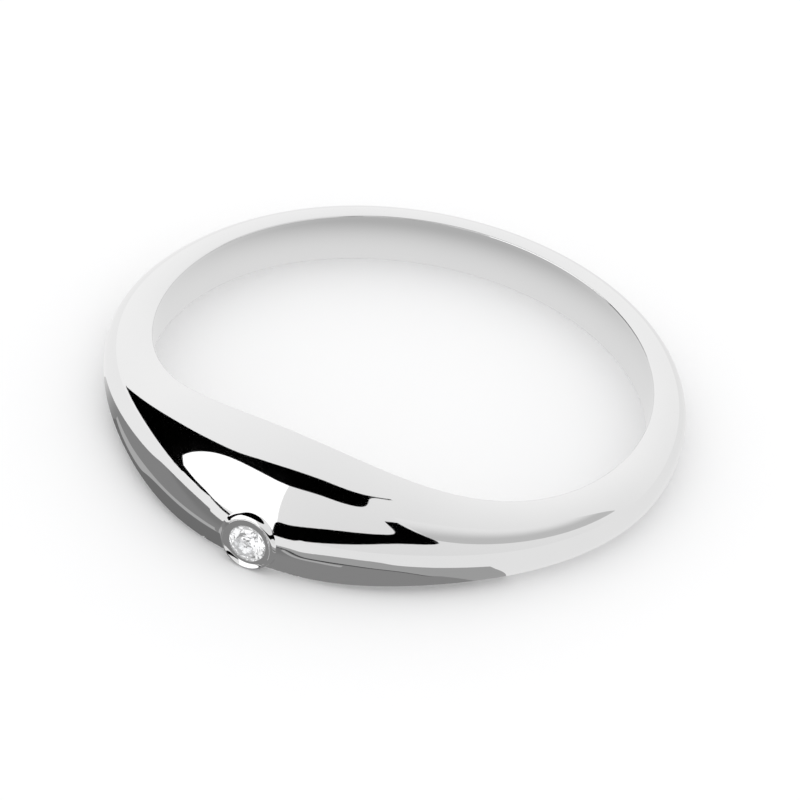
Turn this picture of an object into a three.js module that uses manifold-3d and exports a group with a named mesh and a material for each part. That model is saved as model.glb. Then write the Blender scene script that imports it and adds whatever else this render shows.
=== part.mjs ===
// Stackable ring: a silver band that swells into a domed head, with a lens-shaped flank cut into the
// head's lower side and a small round brilliant in a collar on that flank.
// Millimetres, +Z up along the finger's axis, resting on its flat foot at z = 0. The head and the
// stone face -Y, and the origin is the middle of the footprint. The pieces are made about the
// finger's axis and moved there last. "Turn" is the angle in degrees round that axis, counted from
// the stone.

import * as THREE from "three";
import { mergeVertices } from "three/addons/utils/BufferGeometryUtils.js";
import Module from "manifold-3d";

// Finger hole
const INNER_RADIUS = 8.65;
const INNER_SWELL = 0.06; // how far the middle of the inside stands nearer the finger
const EDGE_BREAK = 0.06; // the small bevel on the two inner edges

// Band, as walls from the finger hole to the widest place, and heights above the foot
const BACK_WALL = 1.22;
const SIDE_WALL = 1.55;
const HEAD_WALL = 2.66;
const BACK_HEIGHT = 1.84;
const HEAD_HEIGHT = 4.2;
const BACK_GIRTH_HEIGHT = 0.92; // height of the widest place at the back
const HEAD_GIRTH_HEIGHT = 0.54; // and at the head, where the lens flank hides it
const SIDE_TURN = 90; // where the wall is halfway between side and back
const SIDE_EASE = 8; // how gently it thins down there, in degrees
const RISE_REACH = 42; // how far round the head's rise spreads
const SWELL_REACH = 31; // and its swell outward

// Foot: the flat land that the ring rests on, and the edge above it
const BACK_FOOT_INSET = 0.3; // from the widest place in to the foot's edge
const SIDE_FOOT_INSET = 0.5;
const HEAD_FOOT_INSET = 0.38;
const FOOT_BREAK = 0.12; // the bevel between land and flank

// Lens flank: a hollow cut into the head's lower side. Its upper edge, the ridge, is level, and its
// lower edge drops from the two tips to the foot.
const LENS_REACH = 34; // half the turn that it spans
const LENS_HEIGHT = 0.82; // from the foot's bevel up to the ridge
const LENS_HOLLOW = 0.08; // how deep its face is dished

// Stone, and the collar that holds it
const STONE_DIAMETER = 1.5;
const CROWN_SHARE = 0.15; // heights and widths as shares of the stone's diameter
const GIRDLE_SHARE = 0.03;
const PAVILION_SHARE = 0.43;
const TABLE_SHARE = 0.57;
const COLLAR_WALL = 0.18;
const COLLAR_SINK = 0.06; // how far the collar's rim stays inside the head's widest place
const COLLAR_LIFT = 0.04; // clear height under the collar
const LIP_COVER = 0.07; // how far the lip covers the stone's edge
const LIP_HEIGHT = 0.17; // the rim's height above the stone's edge
const SEAT_CLEARANCE = 0.03;

// How finely the round shapes are divided
const TURN_STEPS = 120;
const DOME_STEPS = 12;
const FLANK_STEPS = 6;
const INSIDE_STEPS = 4;
const COLLAR_STEPS = 40;

const rad = THREE.MathUtils.degToRad;
const mix = THREE.MathUtils.lerp;

// A bell curve: 1 at the stone, about a third at the reach, and smooth everywhere.
function bell(turn, reach) {
  return Math.exp(-((turn / reach) ** 2));
}

// 0 at the back and 1 from the side forward.
function sideShare(turn) {
  return 1 / (1 + Math.exp((Math.abs(turn) - SIDE_TURN) / SIDE_EASE));
}

// The sizes of the section at one turn, worked out from those at the back, side and head.
function sizesAt(turn) {
  const side = sideShare(turn);
  const swell = bell(turn, SWELL_REACH);
  const rise = bell(turn, RISE_REACH);
  const wall = mix(mix(BACK_WALL, SIDE_WALL, side), HEAD_WALL, swell);
  const inset = mix(mix(BACK_FOOT_INSET, SIDE_FOOT_INSET, side), HEAD_FOOT_INSET, swell);
  return {
    girth: INNER_RADIUS + wall,
    girthHeight: mix(BACK_GIRTH_HEIGHT, HEAD_GIRTH_HEIGHT, swell),
    top: mix(BACK_HEIGHT, HEAD_HEIGHT, rise),
    foot: INNER_RADIUS + wall - inset,
  };
}

// The point of a circular arc that is upright at the widest place and passes through the point
// (edge, edgeHeight), at the given height.
function arcRadiusAt(sizes, edge, edgeHeight, height) {
  const reach = sizes.girth - edge;
  const climb = edgeHeight - sizes.girthHeight;
  const radius = (reach * reach + climb * climb) / (2 * reach);
  const across = Math.sqrt(Math.max(radius * radius - (height - sizes.girthHeight) ** 2, 0));
  return sizes.girth - radius + across;
}

// The outside of the section as a radius at a height: one arc up to the inner top edge and one
// down to the foot's bevel.
function outsideAt(sizes, height) {
  return height > sizes.girthHeight
    ? arcRadiusAt(sizes, INNER_RADIUS, sizes.top, height)
    : arcRadiusAt(sizes, sizes.foot, FOOT_BREAK, height);
}

const ridge = FOOT_BREAK + LENS_HEIGHT;
const head = sizesAt(0);
const lensLean = outsideAt(head, ridge) - head.foot;

// The outside below the ridge as a radius at a height. The lens flank leans in from the ridge to
// the foot's edge at the stone and ever less toward its tips, and counts where it cuts the band.
function flankAt(turn, sizes, height) {
  const whole = outsideAt(sizes, height);
  if (Math.abs(turn) >= LENS_REACH) return whole;
  const depth = (1 - (turn / LENS_REACH) ** 2) ** 2;
  const t = (height - FOOT_BREAK) / LENS_HEIGHT;
  const cut = lensLean * (1 - t) + 4 * LENS_HOLLOW * t * (1 - t);
  return Math.min(whole, outsideAt(sizes, ridge) - depth * cut);
}

// The section at one turn, as [radius, height] points that run from the land outward, up the
// outside, over the top edge and down the inside.
function sectionAt(turn) {
  const sizes = sizesAt(turn);
  const points = [
    [INNER_RADIUS + EDGE_BREAK, 0],
    [sizes.foot - FOOT_BREAK, 0],
  ];
  for (let i = 0; i < FLANK_STEPS; i++) {
    const height = mix(FOOT_BREAK, ridge, i / FLANK_STEPS);
    points.push([flankAt(turn, sizes, height), height]);
  }
  points.push(...domePoints(sizes));
  for (let i = 0; i <= INSIDE_STEPS; i++) {
    const t = i / INSIDE_STEPS;
    const swell = 4 * INNER_SWELL * t * (1 - t);
    points.push([INNER_RADIUS - swell, mix(sizes.top - EDGE_BREAK, EDGE_BREAK, t)]);
  }
  return points;
}

// The dome's arc from the ridge up to the break of the inner top edge, in steps of equal angle.
function domePoints(sizes) {
  const reach = sizes.girth - INNER_RADIUS;
  const climb = sizes.top - sizes.girthHeight;
  const radius = (reach * reach + climb * climb) / (2 * reach);
  const centre = sizes.girth - radius;
  const first = Math.asin((ridge - sizes.girthHeight) / radius);
  const last = Math.atan2(climb, INNER_RADIUS - centre) - EDGE_BREAK / radius;
  const points = [];
  for (let i = 0; i <= DOME_STEPS; i++) {
    const angle = mix(first, last, i / DOME_STEPS);
    const height = sizes.girthHeight + radius * Math.sin(angle);
    points.push([centre + radius * Math.cos(angle), height]);
  }
  return points;
}

// A closed mesh from rings of points: each ring is one section, and the last joins the first.
function skin(rings) {
  const positions = [];
  const faces = [];
  const count = rings[0].length;
  for (const ring of rings) {
    for (const p of ring) positions.push(...p);
  }
  for (let i = 0; i < rings.length; i++) {
    const a = i * count;
    const b = ((i + 1) % rings.length) * count;
    for (let j = 0; j < count; j++) {
      const k = (j + 1) % count;
      faces.push(a + j, b + j, b + k, a + j, b + k, a + k);
    }
  }
  const geometry = new THREE.BufferGeometry();
  geometry.setAttribute("position", new THREE.Float32BufferAttribute(positions, 3));
  geometry.setIndex(faces);
  return geometry;
}

function bandGeometry() {
  const rings = [];
  for (let i = 0; i < TURN_STEPS; i++) {
    const turn = (360 * i) / TURN_STEPS;
    const signed = turn > 180 ? turn - 360 : turn;
    const outward = [Math.sin(rad(turn)), -Math.cos(rad(turn))];
    rings.push(sectionAt(signed).map(([r, z]) => [r * outward[0], r * outward[1], z]));
  }
  return skin(rings);
}

// Stone and collar are made about the stone's own axis, with the top of the stone's edge at 0.
// This puts them in place: facing out along -Y, with the collar just above the foot's land.
const stoneRadius = STONE_DIAMETER / 2;
const collarRadius = stoneRadius + COLLAR_WALL;

function stonePlace() {
  const rim = INNER_RADIUS + HEAD_WALL - COLLAR_SINK;
  const outward = new THREE.Vector3(0, -1, 0);
  const across = new THREE.Vector3(1, 0, 0);
  const up = new THREE.Vector3(0, 0, 1);
  const place = new THREE.Matrix4().makeBasis(across, up, outward);
  return place.setPosition(0, LIP_HEIGHT - rim, COLLAR_LIFT + collarRadius);
}

// A solid of revolution about the stone's axis, from [radius, height] points that run upward on
// the outside and start and end on the axis.
function turned(profile) {
  const points = profile.map(([r, h]) => new THREE.Vector2(r, h));
  return new THREE.LatheGeometry(points, COLLAR_STEPS).rotateX(Math.PI / 2);
}

function arcPoints(centre, radius, from, to, steps) {
  return Array.from({ length: steps + 1 }, (_, i) => {
    const angle = rad(mix(from, to, i / steps));
    return [centre[0] + radius * Math.cos(angle), centre[1] + radius * Math.sin(angle)];
  });
}

// The collar's outside: a short post that starts inside the head and ends in a round rim.
function collarGeometry() {
  const rim = (collarRadius - (stoneRadius - LIP_COVER)) / 2;
  const root = -stoneRadius - HEAD_WALL / 3;
  const top = arcPoints([collarRadius - rim, LIP_HEIGHT - rim], rim, 0, 90, 4);
  return turned([[0, root], [collarRadius, root], ...top, [0, LIP_HEIGHT]]);
}

// What is cut from the collar: the stone's room with its clearance, and the mouth above it.
function seatGeometry() {
  const room = stoneRadius + SEAT_CLEARANCE;
  const girdle = STONE_DIAMETER * GIRDLE_SHARE;
  const depth = STONE_DIAMETER * PAVILION_SHARE;
  const crownRun = stoneRadius * (1 - TABLE_SHARE);
  const crownSlope = (STONE_DIAMETER * CROWN_SHARE) / crownRun;
  const lip = stoneRadius - LIP_COVER;
  const lipLow = LIP_COVER * crownSlope + SEAT_CLEARANCE * 1.3;
  const mouth = (collarRadius + lip) / 2;
  return turned([
    [0, -girdle - depth - SEAT_CLEARANCE * 1.5],
    [room, -girdle - SEAT_CLEARANCE * 0.4],
    [room, SEAT_CLEARANCE * 0.4],
    [lip, lipLow],
    [mouth, LIP_HEIGHT],
    [mouth, LIP_HEIGHT + STONE_DIAMETER],
    [0, LIP_HEIGHT + STONE_DIAMETER],
  ]);
}

// Round brilliant with eight-fold facets: table, stars, kites, upper and lower halves, mains.
function brilliantGeometry() {
  const r = stoneRadius;
  const table = r * TABLE_SHARE;
  const crown = STONE_DIAMETER * CROWN_SHARE;
  const girdle = STONE_DIAMETER * GIRDLE_SHARE;
  const depth = STONE_DIAMETER * PAVILION_SHARE;
  const half = rad(22.5);
  const star = (table * Math.cos(half) + r) / 2;
  const starHeight = (crown * (r - star * Math.cos(half))) / (r - table);
  const lower = r * 0.25;
  const lowerHeight = -girdle - depth * (1 - (lower * Math.cos(half)) / r);
  const at = (step, radius, height) => [
    radius * Math.cos(half * step),
    radius * Math.sin(half * step),
    height,
  ];
  const top = [0, 0, crown];
  const culet = [0, 0, -girdle - depth];
  const faces = [];
  for (let k = 0; k < 16; k += 2) {
    const here = at(k, table, crown);
    const next = at(k + 2, table, crown);
    const starPoint = at(k + 1, star, starHeight);
    const starBefore = at(k - 1, star, starHeight);
    const edge = [at(k, r, 0), at(k + 1, r, 0), at(k + 2, r, 0)];
    const under = edge.map(([x, y]) => [x, y, -girdle]);
    const lowPoint = at(k + 1, lower, lowerHeight);
    const lowBefore = at(k - 1, lower, lowerHeight);
    faces.push([top, here, next]);
    faces.push([here, starPoint, next]);
    faces.push([here, starBefore, edge[0]], [here, edge[0], starPoint]);
    faces.push([starPoint, edge[0], edge[1]], [starPoint, edge[1], edge[2]]);
    for (const i of [0, 1]) {
      faces.push([edge[i], under[i], under[i + 1]], [edge[i], under[i + 1], edge[i + 1]]);
      faces.push([lowPoint, under[i + 1], under[i]]);
    }
    faces.push([culet, under[0], lowBefore], [culet, lowPoint, under[0]]);
  }
  const geometry = new THREE.BufferGeometry();
  const positions = new THREE.Float32BufferAttribute(faces.flat(2), 3);
  geometry.setAttribute("position", positions);
  return geometry;
}

const wasm = await Module();
wasm.setup();

// A geometry as a manifold solid, from its positions alone.
function solid(geometry) {
  const bare = new THREE.BufferGeometry();
  bare.setAttribute("position", geometry.getAttribute("position"));
  bare.setIndex(geometry.getIndex());
  const merged = mergeVertices(bare, 1e-4);
  const mesh = new wasm.Mesh({
    numProp: 3,
    vertProperties: merged.getAttribute("position").array,
    triVerts: new Uint32Array(merged.getIndex().array),
  });
  return new wasm.Manifold(mesh);
}

function geometryOf(manifold) {
  const mesh = manifold.getMesh();
  const geometry = new THREE.BufferGeometry();
  geometry.setAttribute("position", new THREE.BufferAttribute(mesh.vertProperties, 3));
  geometry.setIndex(new THREE.BufferAttribute(mesh.triVerts, 1));
  return geometry;
}

// Flat-shaded, because the facets are the shape.
function named(name, geometry, material) {
  const flat = geometry.index ? geometry.toNonIndexed() : geometry;
  flat.computeVertexNormals();
  const mesh = new THREE.Mesh(flat, material);
  mesh.name = name;
  return mesh;
}

const silver = new THREE.MeshStandardMaterial({ color: 0xd9d9db, metalness: 1, roughness: 0.08 });
const clear = new THREE.MeshStandardMaterial({ color: 0xf3f6fa, metalness: 0, roughness: 0.02 });

const place = stonePlace();
const collar = collarGeometry().applyMatrix4(place);
const seat = seatGeometry().applyMatrix4(place);
const metal = solid(bandGeometry()).add(solid(collar)).subtract(solid(seat));

const ring = new THREE.Group();
ring.name = "stackable_ring";
ring.add(named("band", geometryOf(metal), silver));
ring.add(named("stone", brilliantGeometry().applyMatrix4(place), clear));

const middle = new THREE.Box3().setFromObject(ring).getCenter(new THREE.Vector3());
for (const piece of ring.children) piece.position.set(-middle.x, -middle.y, 0);

export default ring;
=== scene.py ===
import math

import bpy
import numpy as np
from mathutils import Matrix, Vector


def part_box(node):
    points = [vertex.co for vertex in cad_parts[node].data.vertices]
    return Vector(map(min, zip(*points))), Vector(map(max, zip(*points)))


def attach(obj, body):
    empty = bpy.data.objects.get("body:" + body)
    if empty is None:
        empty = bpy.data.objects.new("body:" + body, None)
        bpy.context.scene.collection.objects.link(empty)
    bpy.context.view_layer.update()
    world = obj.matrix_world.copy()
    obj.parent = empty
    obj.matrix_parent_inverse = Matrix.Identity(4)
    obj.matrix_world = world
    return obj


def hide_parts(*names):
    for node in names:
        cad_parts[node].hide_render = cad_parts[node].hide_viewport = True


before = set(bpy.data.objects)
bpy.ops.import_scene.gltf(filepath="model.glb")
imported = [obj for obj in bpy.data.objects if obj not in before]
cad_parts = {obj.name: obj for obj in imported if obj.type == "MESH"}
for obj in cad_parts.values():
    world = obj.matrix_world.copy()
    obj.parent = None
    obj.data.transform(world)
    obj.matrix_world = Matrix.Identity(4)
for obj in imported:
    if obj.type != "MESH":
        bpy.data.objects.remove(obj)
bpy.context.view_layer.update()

mm = 0.001


# Band: the ring's one piece of metal, cast in silver and polished to a mirror. A slim rounded shank
# swells into a domed head with a hollow lens-shaped flank on its lower side. The stone's round
# collar sits on the flank's ridge, cast on with a soft fillet, and stands out from it only a little.

inner_radius, inner_swell, edge_break = 8.65 * mm, 0.06 * mm, 0.06 * mm
back_wall, side_wall, head_wall = 1.22 * mm, 1.55 * mm, 2.66 * mm
back_height, head_height = 1.84 * mm, 4.2 * mm
back_girth_height, head_girth_height = 0.92 * mm, 0.54 * mm
back_inset, side_inset, head_inset = 0.3 * mm, 0.5 * mm, 0.38 * mm
side_turn, side_ease = 90.0, 8.0
rise_reach, swell_reach = 42.0, 31.0
foot_break, foot_round = 0.12 * mm, 0.1 * mm
lens_reach, lens_height, lens_hollow = 34.0, 0.82 * mm, 0.08 * mm
ridge_height, ridge_softness = foot_break + lens_height, 0.02 * mm
tip_clearance = 0.02 * mm  # keeps the flank off the dome at the lens's tips
top_steps, inside_steps, corner_steps = 6, 14, 5

axis_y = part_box("band")[1][1] - inner_radius - back_wall  # the finger's axis in the frame


def mix(a, b, share):
    """a where share is 0 and b where it is 1."""
    return a + (b - a) * share


def bell(turn, reach):
    """A bell curve of the turn: e to the power of minus (turn over reach) squared."""
    return np.exp(-((turn / reach) ** 2))


def band_sizes(turn):
    """Radius and height of the widest place, height of the top edge and radius of the foot. The
    side share is a logistic step of the turn, and the head's swell and rise are bell curves."""
    side = 1 / (1 + np.exp((np.abs(turn) - side_turn) / side_ease))
    swell = bell(turn, swell_reach)
    wall = mix(mix(back_wall, side_wall, side), head_wall, swell)
    inset = mix(mix(back_inset, side_inset, side), head_inset, swell)
    girth_height = mix(back_girth_height, head_girth_height, swell)
    top = mix(back_height, head_height, bell(turn, rise_reach))
    return inner_radius + wall, girth_height, top, inner_radius + wall - inset


def arc_radius(reach, climb):
    """The radius of an arc that starts upright and ends reach further in and climb further on."""
    return (reach**2 + climb**2) / (2 * reach)


def dome_radius_at(turn, height):
    """The band's outside radius without the lens flank: two arcs that stand upright at the widest
    place, one through the inner top edge and one through the foot's edge."""
    girth, girth_height, top, foot = band_sizes(turn)
    above = arc_radius(girth - inner_radius, top - girth_height)
    below = arc_radius(girth - foot, girth_height - foot_break)
    climb = np.clip(height - girth_height, 0, above)
    drop = np.clip(girth_height - height, 0, below)
    over = girth - above + np.sqrt(above**2 - climb**2)
    return np.where(height > girth_height, over, girth - below + np.sqrt(below**2 - drop**2))


lens_lean = dome_radius_at(0.0, ridge_height) - band_sizes(0.0)[3]


def bend(start, corner, end, share):
    """A round corner: the quadratic Bezier curve from start to end that heads for the corner."""
    return [
        (1 - share) ** 2 * a + 2 * share * (1 - share) * b + share**2 * c
        for a, b, c in zip(start, corner, end)
    ]


def ease(start, leave, arrive, end, share):
    """The cubic Bezier curve from start to end that leaves and arrives along its handles."""
    return [
        (1 - share) ** 3 * a + 3 * share * (1 - share) ** 2 * b
        + 3 * share**2 * (1 - share) * c + share**3 * d
        for a, b, c, d in zip(start, leave, arrive, end)
    ]


def flanked(turn, height, dome):
    """The outside's radius where the dome has this radius and height: the smaller of the dome's
    and the flank's, softened over the ridge as their mean less the root of (half their
    difference) squared plus the softness squared. The flank starts at the level ridge, leans in
    towards the foot and is dished by a parabola. The depth of both falls from 1 at the stone to 0
    at the lens's tips as (1 - (turn over reach) squared) squared."""
    depth = np.maximum(1 - (turn / lens_reach) ** 2, 0) ** 2
    climb = (height - foot_break) / lens_height
    cut = lens_lean * (1 - climb) + 4 * lens_hollow * climb * (1 - climb)
    clear = tip_clearance * (1 - depth) ** 4
    flank = dome_radius_at(turn, ridge_height) - depth * cut + clear
    half = (dome - flank) / 2
    return dome - half - np.sqrt(half**2 + ridge_softness**2)


def outside(turn, share):
    """Radius and height of the outside. Share -1 to 0 rounds the foot's edge, 0 to 1 climbs the
    flank by even heights to the ridge, and 1 to 2 goes over the dome by even angles."""
    girth, girth_height, top, foot = band_sizes(turn)
    above = arc_radius(girth - inner_radius, top - girth_height)
    first = np.arcsin((ridge_height - girth_height) / above)
    last = np.arctan2(top - girth_height, inner_radius - girth + above) - edge_break / above
    angle = mix(first, last, np.clip(share - 1, 0, 1))
    low = foot_break + lens_height * np.clip(share, 0, 1)
    height = np.where(share < 1, low, girth_height + above * np.sin(angle))
    dome = np.where(share < 1, dome_radius_at(turn, low), girth - above + above * np.cos(angle))
    radius = flanked(turn, height, dome)
    edge, sliver = foot_break + 0 * turn, 0.01 * mm
    start, over = [flanked(turn, h, dome_radius_at(turn, h)) for h in (edge, edge + sliver)]
    tip = start - (over - start) * foot_break / sliver
    corner = bend((tip - foot_round, 0 * turn), (tip, 0 * turn), (start, edge), share + 1)
    return np.where(share < 0, corner[0], radius), np.where(share < 0, corner[1], height)


def inside(turn):
    """The rest of the section, from the top edge over the bowed inside and the land back to the
    foot's edge, with round corners."""
    top = band_sizes(turn)[2]
    one = np.ones_like(turn)
    wall = inner_radius * one
    low, flat = edge_break * one, 0 * one
    runs = [
        bend(
            outside(turn, 2 * one), (wall, top), (wall, top - edge_break),
            t_between(0, 1, top_steps)[:, 1:],
        )
    ]
    t = t_between(0, 1, inside_steps)[:, 1:]
    runs.append([wall - 4 * inner_swell * t * (1 - t), mix(top - edge_break, low, t)])
    t = t_between(0, 1, corner_steps)[:, 1:]
    runs.append(bend((wall, low), (wall, flat), (wall + edge_break, flat), t))
    t = t_between(0, 1, corner_steps)[:, 1:-1]
    runs.append([mix(wall + edge_break, outside(turn, -one)[0], t), flat + 0 * t])
    return [np.concatenate([run[i] for run in runs], axis=1) for i in (0, 1)]


def finer_ends(t):
    """Steps that are small near 0 and near 1: t less a share of the sine of one turn."""
    crowding = 0.12
    return t - crowding * np.sin(2 * np.pi * t)


def t_between(start, end, steps):
    """Even steps from start to end, as one row."""
    return np.linspace(start, end, steps + 1)[None, :]


def around(turn, radius, height):
    """Points in the frame: turned about the finger's axis from the stone's side, -Y."""
    a = np.radians(turn)
    return np.stack([radius * np.sin(a), axis_y - radius * np.cos(a), height + 0 * a], axis=-1)


def unit(vectors):
    """The vectors at length 1."""
    return vectors / np.linalg.norm(vectors, axis=-1, keepdims=True)


def along(points, axis):
    """The direction along one side of a closed grid, as the tangent of the circle through each
    point and its two neighbours: each step's direction, weighted by the other step's length."""
    before = points - np.roll(points, 1, axis)
    after = np.roll(points, -1, axis) - points
    long_before = np.linalg.norm(before, axis=-1, keepdims=True)
    long_after = np.linalg.norm(after, axis=-1, keepdims=True)
    return unit(before / long_before * long_after + after / long_after * long_before)


def outside_normal(turn, share):
    """The outside's normal: the cross product of its slopes by turn and by share."""
    nudge, slide = 0.01, 1e-4
    by_turn = around(turn + nudge, *outside(turn + nudge, share))
    by_turn = by_turn - around(turn - nudge, *outside(turn - nudge, share))
    by_share = around(turn, *outside(turn, share + slide))
    by_share = by_share - around(turn, *outside(turn, share - slide))
    return unit(np.cross(by_turn, by_share))


def net(index):
    """The quads between the neighbouring rows and columns of an array of vertex numbers."""
    corners = index[:-1, :-1], index[1:, :-1], index[1:, 1:], index[:-1, 1:]
    return np.stack(corners, axis=-1)


turn_steps, foot_steps, flank_steps, dome_steps = 480, 6, 24, 56
ridge_row = foot_steps + flank_steps
turns = (np.arange(turn_steps) - turn_steps // 2)[:, None] * (360 / turn_steps)
shares = np.concatenate([
    t_between(-1, 0, foot_steps)[:, :-1],
    finer_ends(t_between(0, 1, flank_steps)[:, :-1]),
    1 + t_between(0, 1, dome_steps) ** 1.5,
], axis=1)
skin = [np.concatenate(pair, axis=1) for pair in zip(outside(turns, shares), inside(turns))]
skin_points = around(turns, *skin)
skin_normals = unit(np.cross(along(skin_points, 0), along(skin_points, 1)))
skin_normals[:, :shares.shape[1]] = outside_normal(turns, shares)
rows = skin_points.shape[1]
skin_index = np.arange(turn_steps * rows).reshape(turn_steps, rows)

# The collar stands in a field that is left out of the skin and filled by a net of its own, whose
# lines run from the field's edge to the fillet, up the collar, over its rim and into the seat.

field_half, field_top = 14, ridge_row + 35
patch_steps, fillet_steps, mouth_steps = 30, 24, 30
collar_radius, collar_lift, collar_sink = 0.93 * mm, 0.04 * mm, 0.06 * mm
rim_radius, rim_height, rim_drop = 0.925 * mm, 0.18 * mm, 0.088 * mm
bead_radius, bead_reach, bead_height = 0.908 * mm, 0.012 * mm, 0.008 * mm
bevel_radius = 0.895 * mm
lip_radius, lip_low, lip_edge = 0.68 * mm, 0.088 * mm, 0.004 * mm
seat_radius, seat_top, seat_low, seat_tip = 0.78 * mm, 0.012 * mm, -0.057 * mm, -0.735 * mm

stone_rim = 0.17 * mm  # from the stone's edge out to the plane of the collar's rim
collar_reach = inner_radius + head_wall - collar_sink - stone_rim
collar_middle = np.array([0, axis_y - collar_reach, collar_lift + collar_radius])
collar_axes = np.array([[1, 0, 0], [0, 0, 1], [0, -1, 0]])
fillet_start = 0.28  # the share of the fillet's reach that still follows the dome


def upness(angle):
    """0 at the collar's bottom and 1 at its top, by the sine of the angle about its axis."""
    return 0.5 + 0.5 * np.sin(angle)


def skirt(angle):
    """0 at the collar's bottom, filled out to 1 by a parabola at three tenths of its height."""
    return 1 - (1 - np.minimum(upness(angle) / 0.3, 1)) ** 2


def fillet_width(angle):
    """How far the fillet reaches past the collar: next to nothing above the foot, a narrow skirt
    on the flank, and by a power of the upness a wider rise on the dome."""
    return (0.03 + 0.13 * skirt(angle) + 0.1 * upness(angle) ** 5) * mm


def seen_from_collar(turn, share):
    """Points of the outside as steps across, up and out from the collar's middle."""
    return (around(turn, *outside(turn, share)) - collar_middle) @ collar_axes.T


def foot_of_fillet(angle):
    """Turn and share of the outside where the fillet starts, by Newton's steps towards the point
    that lies at this angle and at the fillet's reach about the collar's axis."""
    reach = collar_radius + fillet_width(angle)
    goal = np.stack([reach * np.cos(angle), reach * np.sin(angle)], axis=-1)
    heights = np.array([-0.96, -0.85, -0.03, 1.69]) * mm  # rough ones, to start from
    turn = np.degrees(goal[:, 0] / (inner_radius + head_wall))
    share = np.interp(goal[:, 1], heights, [-0.6, 0, 1, 1.42])
    nudge, slide = 1e-3, 1e-4
    for _ in range(30):
        here = seen_from_collar(turn, share)[:, :2] - goal
        by_turn = (seen_from_collar(turn + nudge, share)[:, :2] - goal - here) / nudge
        by_share = (seen_from_collar(turn, share + slide)[:, :2] - goal - here) / slide
        det = by_turn[:, 0] * by_share[:, 1] - by_turn[:, 1] * by_share[:, 0]
        turn_step = (here[:, 0] * by_share[:, 1] - here[:, 1] * by_share[:, 0]) / det
        share_step = (by_turn[:, 0] * here[:, 1] - by_turn[:, 1] * here[:, 0]) / det
        turn = turn - np.clip(turn_step, -1, 1)
        share = np.clip(share - np.clip(share_step, -0.1, 0.1), -0.98, 1.98)
    return turn, share


def ridge_meets_fillet():
    """The angle about the collar's axis at which the ridge runs into the fillet."""
    turn = np.linspace(2, 9, 2000)
    spot = seen_from_collar(turn, np.ones_like(turn))
    angle = np.arctan2(spot[:, 1], spot[:, 0])
    over = np.hypot(spot[:, 0], spot[:, 1]) - collar_radius - fillet_width(angle)
    return np.interp(0, over, angle)


def spread(index, start, end):
    """Angles from start to end, spaced as the points of the field's edge are along it."""
    points = skin_points.reshape(-1, 3)[index]
    steps = np.linalg.norm(np.diff(points, axis=0), axis=1)
    return mix(start, end, np.concatenate([[0], np.cumsum(steps) / steps.sum()]))


middle = turn_steps // 2
field = skin_index[middle - field_half:middle + field_half + 1, :field_top + 1]
over_edge = np.concatenate([
    field[-1, ridge_row:-1], field[::-1, -1], field[0, ridge_row:-1][::-1]
])
under_edge = np.concatenate([
    field[0, 1:ridge_row + 1][::-1], field[:, 0], field[-1, 1:ridge_row + 1]
])
meet = ridge_meets_fillet()
edge_index = np.concatenate([over_edge[:-1], under_edge[:-1]])
collar_angles = np.concatenate([
    spread(over_edge, meet, math.pi - meet)[:-1],
    spread(under_edge, math.pi - meet, 2 * math.pi + meet)[:-1],
])
edge_turn = turns[edge_index // rows, 0]
edge_share = shares[0, edge_index % rows]
fillet_turn, fillet_share = foot_of_fillet(collar_angles)
fillet_share[[0, len(over_edge) - 1]] = 1

# Lines that start below the foot's edge cross it straight before they turn to the collar.
t = np.linspace(0, 1, patch_steps + 1)[1:, None]
low = np.clip(-edge_share, 0, 1)
patch_turn = mix(edge_turn, fillet_turn, t ** (1 + 2 * low))
patch_share = mix(edge_share, fillet_share, 1 - (1 - t) ** (1 + low))
patch_points = around(patch_turn, *outside(patch_turn, patch_share))
patch_normals = outside_normal(patch_turn, patch_share)

fillet_spot = seen_from_collar(fillet_turn, fillet_share)
lean = outside_normal(fillet_turn, fillet_share) @ collar_axes.T
width = np.hypot(fillet_spot[:, 0], fillet_spot[:, 1]) - collar_radius
slant = (lean[:, 0] * np.cos(collar_angles) + lean[:, 1] * np.sin(collar_angles)) / lean[:, 2]
rim_top = rim_height - rim_drop * upness(collar_angles) ** 3
handle = (0.035 + 0.045 * skirt(collar_angles) + 0.02 * upness(collar_angles) ** 5) * mm
t = np.linspace(0, 1, fillet_steps + 1)[1:, None]
fillet_run = ease(
    (collar_radius + width, fillet_spot[:, 2]),
    (collar_radius + (1 - fillet_start) * width, fillet_spot[:, 2] + fillet_start * width * slant),
    (rim_radius + handle, rim_top), (rim_radius, rim_top), t,
)

# From the rim inwards: a fine bead, then the bevel, which falls by a parabola to the lip.
rho = np.linspace(rim_radius, lip_radius, mouth_steps + 1)[1:, None] + 0 * width
bead = bead_height * bell(rho - bead_radius, bead_reach)
fall = np.clip((bevel_radius - rho) / (bevel_radius - lip_radius), 0, 1)
mouth_run = [rho, rim_top + bead - (rim_top - lip_low) * (1 - (1 - fall) ** 2)]
seat_profile = np.array([
    (lip_radius, lip_low - lip_edge),
    (mix(lip_radius, seat_radius, 0.9), mix(lip_low, seat_top, 0.9)),
    (seat_radius, seat_top), (seat_radius, mix(seat_top, seat_low, 0.5)), (seat_radius, seat_low),
    (mix(seat_radius, 0, 0.04), mix(seat_low, seat_tip, 0.04)),
    (mix(seat_radius, 0, 0.5), mix(seat_low, seat_tip, 0.5)),
    (mix(seat_radius, 0, 0.9), mix(seat_low, seat_tip, 0.9)),
])
seat_run = [seat_profile[:, :1] + 0 * width, seat_profile[:, 1:] + 0 * width]
runs = [fillet_run, mouth_run, seat_run]
collar_rho, collar_out = [np.concatenate([run[i] for run in runs]) for i in (0, 1)]
collar_spots = np.stack([
    collar_rho * np.cos(collar_angles), collar_rho * np.sin(collar_angles), collar_out
], axis=-1)
collar_points = collar_spots @ collar_axes + collar_middle
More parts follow.
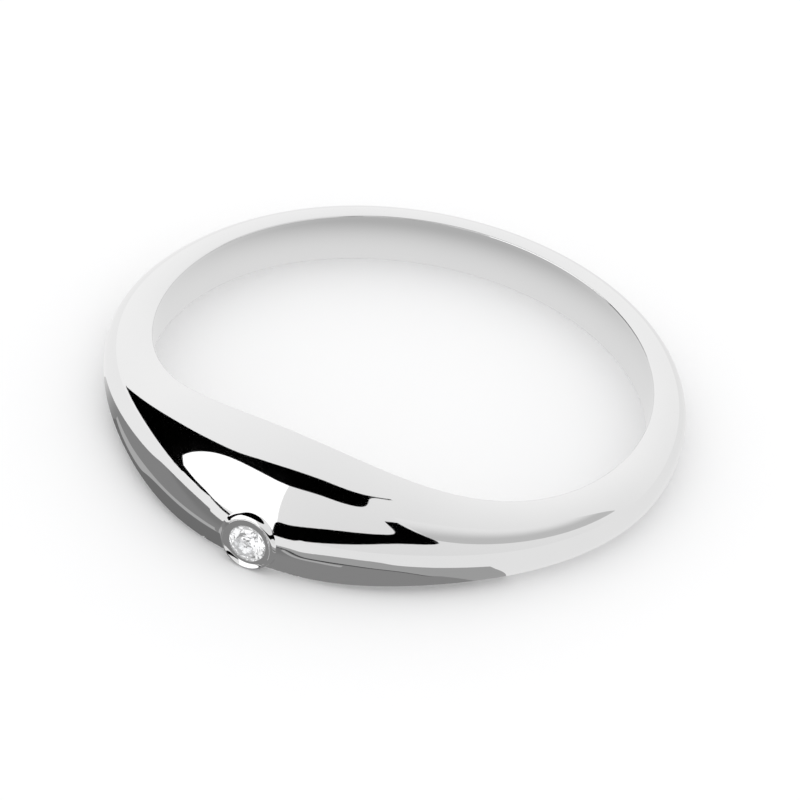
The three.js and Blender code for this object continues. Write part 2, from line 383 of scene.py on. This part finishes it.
collar_tip = np.array([0, 0, seat_tip]) @ collar_axes + collar_middle

# The net's normals: the field's are the outside's own, and the collar's follow its lines.
whole = np.concatenate([patch_points[-2:], collar_points])
collar_normals = unit(np.cross(along(whole, 1), along(whole, 0)))[2:]
collar_normals[-1] = collar_axes[2]

points = np.concatenate([
    skin_points.reshape(-1, 3), patch_points.reshape(-1, 3), collar_points.reshape(-1, 3),
    collar_tip[None],
])
normals = np.concatenate([
    skin_normals.reshape(-1, 3), patch_normals.reshape(-1, 3), collar_normals.reshape(-1, 3),
    collar_axes[2:],
])
net_start, net_rows = skin_index.size, len(patch_points) + len(collar_points)
net_index = net_start + np.arange(net_rows * len(edge_index)).reshape(net_rows, -1)
net_index = np.concatenate([edge_index[None], net_index])
net_index = np.concatenate([net_index, net_index[:, :1]], axis=1)
round_index = np.concatenate([skin_index, skin_index[:1]])
round_index = np.concatenate([round_index, round_index[:, :1]], axis=1)
skin_quads = net(round_index)
kept = np.ones(skin_quads.shape[:2], bool)
kept[middle - field_half:middle + field_half, :field_top] = False
quads = np.concatenate([skin_quads[kept], net(net_index.T).reshape(-1, 4)])
last_row = net_index[-1]
fan = np.stack([last_row[:-1], last_row[1:], np.full(len(edge_index), len(points) - 1)], axis=-1)

used, compact = np.unique(np.concatenate([quads.ravel(), fan.ravel()]), return_inverse=True)
quads, fan = compact[:quads.size].reshape(-1, 4), compact[quads.size:].reshape(-1, 3)
points, normals = points[used], normals[used]
band_mesh = bpy.data.meshes.new("band_polished")
band_mesh.from_pydata(points.tolist(), [], quads.tolist() + fan.tolist())
band_mesh.shade_smooth()
band_mesh.normals_split_custom_set_from_vertices(normals.tolist())
band = bpy.data.objects.new("band_polished", band_mesh)
bpy.context.collection.objects.link(band)


class Shade:
    """A socket of a node tree, for which +, -, * and ** add Math nodes."""

    def __init__(self, socket):
        self.socket = socket

    @classmethod
    def node(cls, tree, kind, settings=None, inputs=None, output=0):
        """Adds a node: first its settings, then the values or links of its inputs."""
        made = tree.nodes.new(kind)
        for name, value in (settings or {}).items():
            setattr(made, name, value)
        return cls(made.outputs[output]).feed(inputs or {})

    def feed(self, inputs):
        """Gives the inputs of this socket's node their values or links."""
        for name, value in inputs.items():
            if isinstance(value, Shade):
                self.socket.id_data.links.new(value.socket, self.socket.node.inputs[name])
            else:
                self.socket.node.inputs[name].default_value = value
        return self

    def maths(self, operation, first, second):
        """Adds the Math node that joins two sockets or numbers."""
        tree = self.socket.id_data
        return Shade.node(
            tree, "ShaderNodeMath", {"operation": operation}, {0: first, 1: second}
        )

    def __add__(self, other):
        return self.maths("ADD", self, other)

    __radd__ = __add__

    def __sub__(self, other):
        return self.maths("SUBTRACT", self, other)

    def __rsub__(self, other):
        return self.maths("SUBTRACT", other, self)

    def __mul__(self, other):
        return self.maths("MULTIPLY", self, other)

    __rmul__ = __mul__

    def __pow__(self, other):
        return self.maths("POWER", self, other)


def noise(tree, place, scale, detail):
    """A soft noise of 0 to 1 over the surface."""
    inputs = {"Vector": place, "Scale": scale, "Detail": detail}
    return Shade.node(tree, "ShaderNodeTexNoise", inputs=inputs)


def tint(tree, share, one, other):
    """One colour where the share is 0 and the other where it is 1."""
    colours = {0: share, 6: one, 7: other}
    return Shade.node(tree, "ShaderNodeMix", {"data_type": "RGBA"}, colours, output=2)


silver_dark, silver_light = (0.885, 0.885, 0.89, 1), (0.93, 0.928, 0.925, 1)
tone_scale, haze_scale, hand_scale, line_scale = 240, 1900, 420, (2600, 2600, 52000)
polish_rough, haze_rough = 0.025, 0.03
hand_relief, line_relief = 0.0009 * mm, 0.00004 * mm

silver = bpy.data.materials.new("polished_silver")
silver.use_nodes = True
tree = silver.node_tree
surface = Shade(tree.nodes["Principled BSDF"].outputs[0])
place = Shade.node(tree, "ShaderNodeTexCoord", output="Object")
metal_colour = tint(tree, noise(tree, place, tone_scale, 3), silver_dark, silver_light)
roughness = polish_rough + haze_rough * noise(tree, place, haze_scale, 4) ** 2
drawn = Shade.node(tree, "ShaderNodeMapping", inputs={"Vector": place, "Scale": line_scale})
relief = hand_relief * noise(tree, place, hand_scale, 1) + line_relief * noise(tree, drawn, 1, 2)
bumped = Shade.node(
    tree, "ShaderNodeBump", inputs={"Height": relief, "Distance": 1, "Strength": 1}
)
surface.feed({"Metallic": 1, "Base Color": metal_colour, "Roughness": roughness, "Normal": bumped})
band_mesh.materials.append(silver)

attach(band, "root")
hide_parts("band")


# Stone: one small round brilliant of clear cut stone, 1.5 mm across, with its flat table outwards.
# It sits in the collar's seat, and the collar's rounded lip is pressed over its edge.

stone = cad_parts["stone"]
stone_cool, stone_clear, cloud_scale = (0.97, 0.98, 1.0, 1), (1.0, 1.0, 1.0, 1), 1500
# The stone gives off a faint white light of its own: a painted glow that brightens its facets.
stone_rough, stone_bending, stone_painted_glow = 0.004, 1.77, 0.07
clear = bpy.data.materials.new("clear_cut_stone")
clear.use_nodes = True
tree = clear.node_tree
place = Shade.node(tree, "ShaderNodeTexCoord", output="Object")
cloud = noise(tree, place, cloud_scale, 2)
Shade(tree.nodes["Principled BSDF"].outputs[0]).feed({
    "Base Color": tint(tree, cloud, stone_cool, stone_clear), "Roughness": stone_rough * cloud,
    "Transmission Weight": 1, "IOR": stone_bending, "Emission Color": (1, 1, 1, 1),
    "Emission Strength": stone_painted_glow,
})
stone.data.materials.clear()
stone.data.materials.append(clear)


# The studio: a pale table lit evenly from all round. What the metal mirrors is set up apart: a
# light tent, a window of soft light with dark flags about it, and a glowing copy of the table
# with painted shade, a painted dark line and painted highlights laid on it.

tent_radius, window_radius, dim_radius, flag_radius, near_flag_radius = 0.7, 0.65, 0.63, 0.6, 0.55
tent_mean, tent_swing, tent_light_way = 0.85, 0.085, (-130, 10)
table_left, table_right, hollow_shade_middle, hollow_shade_edge = 0.88, 0.82, 0.46, 0.76
window_light, room_light = 1.25, 1.07
mirrored_half, floor_half = 0.69, 3
card_steps, card_rows, sheet_steps, sheet_rows = 96, 12, 64, 4
layer_rise = 0.004 * mm  # from one sheet on the table to the next
under_foot = 0.08 * mm  # how far the sheets reach in under the foot's edge


def glowing(name, brightness):
    """A material that gives off grey light and takes none. Brightness is a number, or a function
    that gets the node tree and the place on the surface and gives a socket."""
    made = bpy.data.materials.new(name)
    made.use_nodes = True
    tree = made.node_tree
    tree.nodes.remove(tree.nodes["Principled BSDF"])
    if callable(brightness):
        place = Shade.node(tree, "ShaderNodeTexCoord", output="Object")
        light = {"Color": brightness(tree, place), "Strength": 1}
    else:
        light = {"Color": (1, 1, 1, 1), "Strength": brightness}
    glow = Shade.node(tree, "ShaderNodeEmission", inputs=light)
    tree.links.new(glow.socket, tree.nodes["Material Output"].inputs["Surface"])
    return made


def staged(name, spots, faces, material):
    """A piece of the studio: a mesh of these spots and faces, left out of the object."""
    mesh = bpy.data.meshes.new(name)
    mesh.from_pydata(spots.reshape(-1, 3).tolist(), [], faces)
    mesh.materials.append(material)
    made = bpy.data.objects.new(name, mesh)
    bpy.context.collection.objects.link(made)
    return made


def only_mirrored(made):
    """Shows a piece of the studio in the metal and the stone alone."""
    made.visible_camera = made.visible_diffuse = made.visible_shadow = False
    made.visible_volume_scatter = False


def grid_faces(spots):
    """The quads of a grid of spots, as a list."""
    index = np.arange(spots.shape[0] * spots.shape[1]).reshape(spots.shape[:2])
    return net(index).reshape(-1, 4).tolist()


def smooth_through(knots, steps):
    """A Catmull-Rom curve through the knots: between two of them, the cubic whose ends slope as
    the lines between their neighbours do."""
    knots = np.array(knots, float)
    knots = np.concatenate([2 * knots[:1] - knots[1:2], knots, 2 * knots[-1:] - knots[-2:-1]])
    at = np.linspace(0, len(knots) - 3, steps + 1)
    k = np.minimum(at.astype(int), len(knots) - 4)
    t = (at - k)[:, None]
    a, b, c, d = (knots[k + i] for i in range(4))
    return b + (c - a) * t / 2 + (a - 2.5 * b + 2 * c - d / 2) * t**2 + (
        (3 * b - 3 * c + d - a) * t**3 / 2
    )


def between_edges(one_edge, other_edge, steps, rows):
    """A ruled grid between two smooth edges."""
    share = np.linspace(0, 1, rows + 1)[:, None, None]
    return mix(smooth_through(one_edge, steps), smooth_through(other_edge, steps), share)


def towards(azimuth, elevation, radius):
    """The point that lies this way from the ring, with 0 towards -Y and 90 towards +X."""
    a, e = np.broadcast_arrays(np.radians(azimuth), np.radians(elevation))
    return radius * np.stack([np.sin(a) * np.cos(e), -np.cos(a) * np.cos(e), np.sin(e)], axis=-1)


def card(name, one_edge, other_edge, radius, material):
    """A curved card between two edges, given as azimuth and elevation from end to end."""
    ways = between_edges(one_edge, other_edge, card_steps, card_rows)
    spots = towards(ways[..., 0], ways[..., 1], radius)
    only_mirrored(staged(name, spots, grid_faces(spots), material))


def laid(name, near_edge, far_edge, layer, material):
    """A flat sheet on the table between two edges, given as x and y in millimetres from end to
    end."""
    rows = between_edges(near_edge, far_edge, sheet_steps, sheet_rows) * mm
    spots = np.concatenate([rows, np.full(rows.shape[:2] + (1,), layer_rise * layer)], axis=-1)
    only_mirrored(staged(name, spots, grid_faces(spots), material))


def flat_square(name, half, material):
    """A flat square on the ground, centred under the ring."""
    spots = np.array([(-half, -half, 0), (half, -half, 0), (half, half, 0), (-half, half, 0)])
    return staged(name, spots, [(0, 1, 2, 3)], material)


def eased(tree, value, low, high):
    """0 below low and 1 above high, with a smooth step between."""
    return Shade.node(
        tree, "ShaderNodeMapRange", {"interpolation_type": "SMOOTHSTEP"},
        {"Value": value, "From Min": low, "From Max": high},
    )


def coordinate(tree, place, axis):
    """One coordinate of the place, X, Y or Z, in millimetres."""
    return Shade.node(tree, "ShaderNodeSeparateXYZ", inputs={0: place}, output=axis) * (1 / mm)


def tent_brightness(tree, place):
    """Brightest at the left behind the camera: a mean plus a swing times the cosine of the angle
    to that way."""
    way = Shade.node(tree, "ShaderNodeVectorMath", {"operation": "NORMALIZE"}, {0: place})
    light_way = tuple(towards(*tent_light_way, 1))
    cosine = Shade.node(
        tree, "ShaderNodeVectorMath", {"operation": "DOT_PRODUCT"}, {0: way, 1: light_way}, "Value"
    )
    return tent_mean + tent_swing * cosine


def table_brightness(tree, place):
    """A pale table, a little darker to the right, with painted shade in the ring's hollow, darker in
    its middle.
    """
    wall_out, wall_in, core = 8.9, 8.6, 4.5
    x, y = coordinate(tree, place, "X"), coordinate(tree, place, "Y")
    base = table_left - (table_left - table_right) * eased(tree, x, -13, 10)
    from_axis = (x ** 2 + (y - axis_y / mm) ** 2) ** 0.5
    hollow = eased(tree, from_axis, wall_out, wall_in)
    deep = hollow_shade_middle + (hollow_shade_edge - hollow_shade_middle) * eased(tree, from_axis, core, wall_in)
    return base * (1 - hollow) + deep * hollow


def shade_brightness(tree, place):
    """The painted shade before the head: darker to the front, and fading out round the ring's left.
    """
    front, middle, back = 0.2, 0.24, 0.88
    y = coordinate(tree, place, "Y")
    to_middle, to_back = eased(tree, y, -14, -12), eased(tree, y, -6.5, -2.5)
    return front + (middle - front) * to_middle + (back - middle) * to_back


def dim_brightness(tree, place):
    """Dim below and as bright as the tent above, by the height of the place."""
    dim, bright = 0.53, 0.83
    return dim + (bright - dim) * eased(tree, coordinate(tree, place, "Z"), 300, 450)


def before_foot(start, end):
    """The foot's edge from one turn to another, and a little under it, as x and y in
    millimetres."""
    turn = np.linspace(start, end, 9)
    return around(turn, band_sizes(turn)[3] - under_foot, 0)[:, :2] / mm


tent_turns, tent_rises = np.arange(0, 360, 5)[:, None], np.linspace(-88, 88, 40)[None, :]
tent_spots = towards(tent_turns, tent_rises, tent_radius)
tent_index = np.arange(tent_spots[..., 0].size).reshape(tent_spots.shape[:2])
tent_index = np.concatenate([tent_index, tent_index[:1]])
tent_faces = net(tent_index).reshape(-1, 4).tolist()
tent_faces += [tent_index[:-1, -1].tolist(), tent_index[:-1, 0].tolist()]
only_mirrored(staged("tent", tent_spots, tent_faces, glowing("tent_cloth", tent_brightness)))
# The table as the metal mirrors it: a glowing copy with painted shade in the ring's hollow.
only_mirrored(flat_square(
    "table_mirrored", mirrored_half, glowing("table_shading", table_brightness)
))

# The window and the flags stand round the ring, at azimuth and elevation in degrees.

card(
    "window",
    [(-72, -4), (-74, 10), (-73, 25), (-66, 38), (-50, 48), (-30, 54), (-12, 56)],
    [(-34, -4), (-8, -6), (-5, 8), (-6, 20), (-7, 30), (-8, 40), (-9, 52)],
    window_radius, glowing("window_white", window_light),
)
flag_black = glowing("flag_black", 0)
card(
    "flag_over_window",
    [(-103, 3), (-98, 17), (-81, 31), (-61, 44), (-43, 55), (-16, 64), (19, 67), (58, 63), (85, 62)],
    [(-68, 0), (-69, 17), (-65, 30), (-54, 39), (-35, 45), (-10, 48), (14, 51), (43, 50), (62, 60.5),
     (85, 61.5)],
    flag_radius, flag_black,
)
card(
    "flag_left_foot",
    [(-102, 2.5), (-91, 7), (-78, 4.5), (-63, -1)], [(-100, 12), (-86, 12), (-72, 12), (-64, 4.5)],
    flag_radius, flag_black,
)
card(
    "flag_under_window",
    [(-69, 6), (-57, 3.5), (-47, 2), (-38, -1)], [(-69, 0), (-57, 0.5), (-47, -0.5), (-38, -2)],
    near_flag_radius, flag_black,
)
card(
    "flag_right_foot",
    [(-6, 2), (-5, 10.5), (3, 12.5), (22, 19), (42, 23.5), (50, 28), (51, 40)],
    [(-6, -1), (3, -1), (11, 0), (31, 7), (47, 14.5), (61, 20.5), (57, 41)],
    flag_radius, flag_black,
)
card(
    "dim_right",
    [(59, 46), (85, 46), (120, 46)], [(61, 25), (68, 21.5), (78, 19.5), (95, 18), (120, 16)],
    dim_radius, glowing("dim_cloth", dim_brightness),
)

# The sheets lie on the table before the head, at x and y in millimetres. Besides two black
# flags, they are painted shade, a painted dark line and painted highlights, seen only in the metal.

laid(
    "flag_line_on_table",
    [(-150, -160), (-33, -47), (-12, -28), (-8, -28), (-3, -35)],
    [(-400, -430), (-200, -240), (-24, -46), (-16, -46), (-6, -58)],
    1, flag_black,
)
laid(
    "flag_foot_on_table",
    [(-2, -39), (3, -45), (6, -56), (10, -79), (60, -400)], [(-60, -640), (120, -640)],
    1, flag_black,
)
# Painted shade: grey sheets, darker and lighter, that stand for the shade before the head.
shade = glowing("shade_before_head", shade_brightness)
step_near = [(0, -15.4), (1.6, -15.4), (2.6, -13.7), (3.9, -13.2), (5.3, -12), (6.9, -8.2)]
laid(
    "shade_right", before_foot(0, 50),
    [(-1, -15.6), (1.6, -16.7), (3, -16.1), (5.3, -16.7), (7, -16), (8.1, -13.9), (7.8, -11.2),
     (8.9, -7.1)],
    1, glowing("shade_light", 0.355),
)
laid(
    "shade_left", before_foot(-62, 4),
    [(-9.6, -4.2), (-10, -6.5), (-11.3, -9.7), (-13.6, -12.2), (-13.6, -14.8), (-11.2, -16.8),
     (-8, -16.9), (-6.3, -15.6), (-3.5, -15.2), (0.5, -15.4)],
    2, shade,
)
laid("shade_right_near", before_foot(0, 44), step_near, 3, shade)
# A painted dark line along the shade's step, seen only in the metal.
laid(
    "painted_dark_line",
    [(0.6, -15.2), (1.5, -15), (2.4, -13.4), (3.6, -12.9), (5.1, -11.8), (6.9, -8.2)],
    step_near, 4, glowing("painted_dark_line", 0.06),
)
# A painted highlight line just inside the dark line, seen only in the metal.
laid(
    "painted_highlight_line",
    [(1.2, -14.4), (2, -12.9), (3.2, -12.3), (4.1, -11.5)],
    [(1.4, -14.9), (2.3, -13.3), (3.5, -12.8), (4.5, -12)],
    4, glowing("painted_highlight_line", 0.42),
)
# Darker painted shade next to the foot on the left.
laid(
    "shade_left_near", before_foot(-48, 0),
    [(-8.2, -6.4), (-6.8, -7.8), (-4.9, -9.4), (-2.9, -10.2), (0, -10.6)],
    4, glowing("shade_dark", 0.163),
)
# A painted highlight: a bright sheet that makes the glint along the ridge on the left.
laid(
    "glint_left",
    [(-8.2, -6.4), (-4.9, -9.4), (-2.9, -10.2), (-1.6, -10.6)],
    [(-8.6, -6.4), (-5.8, -9.7), (-4, -11.3), (-2.6, -12)],
    5, glowing("glint", 0.42),
)

# The table that the camera sees: matt paper, lit by a white world and not mirrored in the metal.

paper_grain, paper_dark, paper_light = 90, (0.925, 0.925, 0.93, 1), (0.94, 0.94, 0.94, 1)
paper = bpy.data.materials.new("table_pale")
paper.use_nodes = True
tree = paper.node_tree
place = Shade.node(tree, "ShaderNodeTexCoord", output="Object")
Shade(tree.nodes["Principled BSDF"].outputs[0]).feed({
    "Base Color": tint(tree, noise(tree, place, paper_grain, 4), paper_dark, paper_light),
    "Roughness": 0.9,
})
floor = flat_square("floor", floor_half, paper)
floor.visible_glossy = False

world = bpy.data.worlds.new("studio")
world.use_nodes = True
world.node_tree.nodes["Background"].inputs["Color"].default_value = 1, 1, 1, 1
world.node_tree.nodes["Background"].inputs["Strength"].default_value = room_light
bpy.context.scene.world = world

# The camera stands where the photograph's did: a long lens, turned to the stone's left, looking
# down, and tipped a little to the side, with the whole ring in the middle of the picture.

view_turn, view_height, view_roll = math.radians(22.3), math.radians(35.9), math.radians(8.9)
view_distance, sensor_mm, picture_pixels, pixels_per_mm = 0.4, 36, 800, 29.2
aim_height, aim_drop = 0.95 * mm, 0.5 * mm

side_way = Vector((math.cos(view_turn), math.sin(view_turn), 0))
back_way = Vector((
    math.sin(view_turn) * math.cos(view_height), -math.cos(view_turn) * math.cos(view_height),
    math.sin(view_height),
))
up_way = back_way.cross(side_way)
picture_x = side_way * math.cos(view_roll) + up_way * math.sin(view_roll)
picture_y = up_way * math.cos(view_roll) - side_way * math.sin(view_roll)
aim = Vector((0, axis_y, aim_height)) - aim_drop * picture_y
camera_data = bpy.data.cameras.new("camera")
camera_data.sensor_width = sensor_mm
camera_data.lens = pixels_per_mm * (view_distance / mm) * sensor_mm / picture_pixels
camera_data.clip_start, camera_data.clip_end = 0.01, 10
camera = bpy.data.objects.new("camera", camera_data)
bpy.context.collection.objects.link(camera)
camera.matrix_world = Matrix.Translation(aim + back_way * view_distance) @ (
    Matrix((picture_x, picture_y, back_way)).transposed().to_4x4()
)
scene = bpy.context.scene
scene.camera = camera
scene.view_settings.view_transform = "Standard"
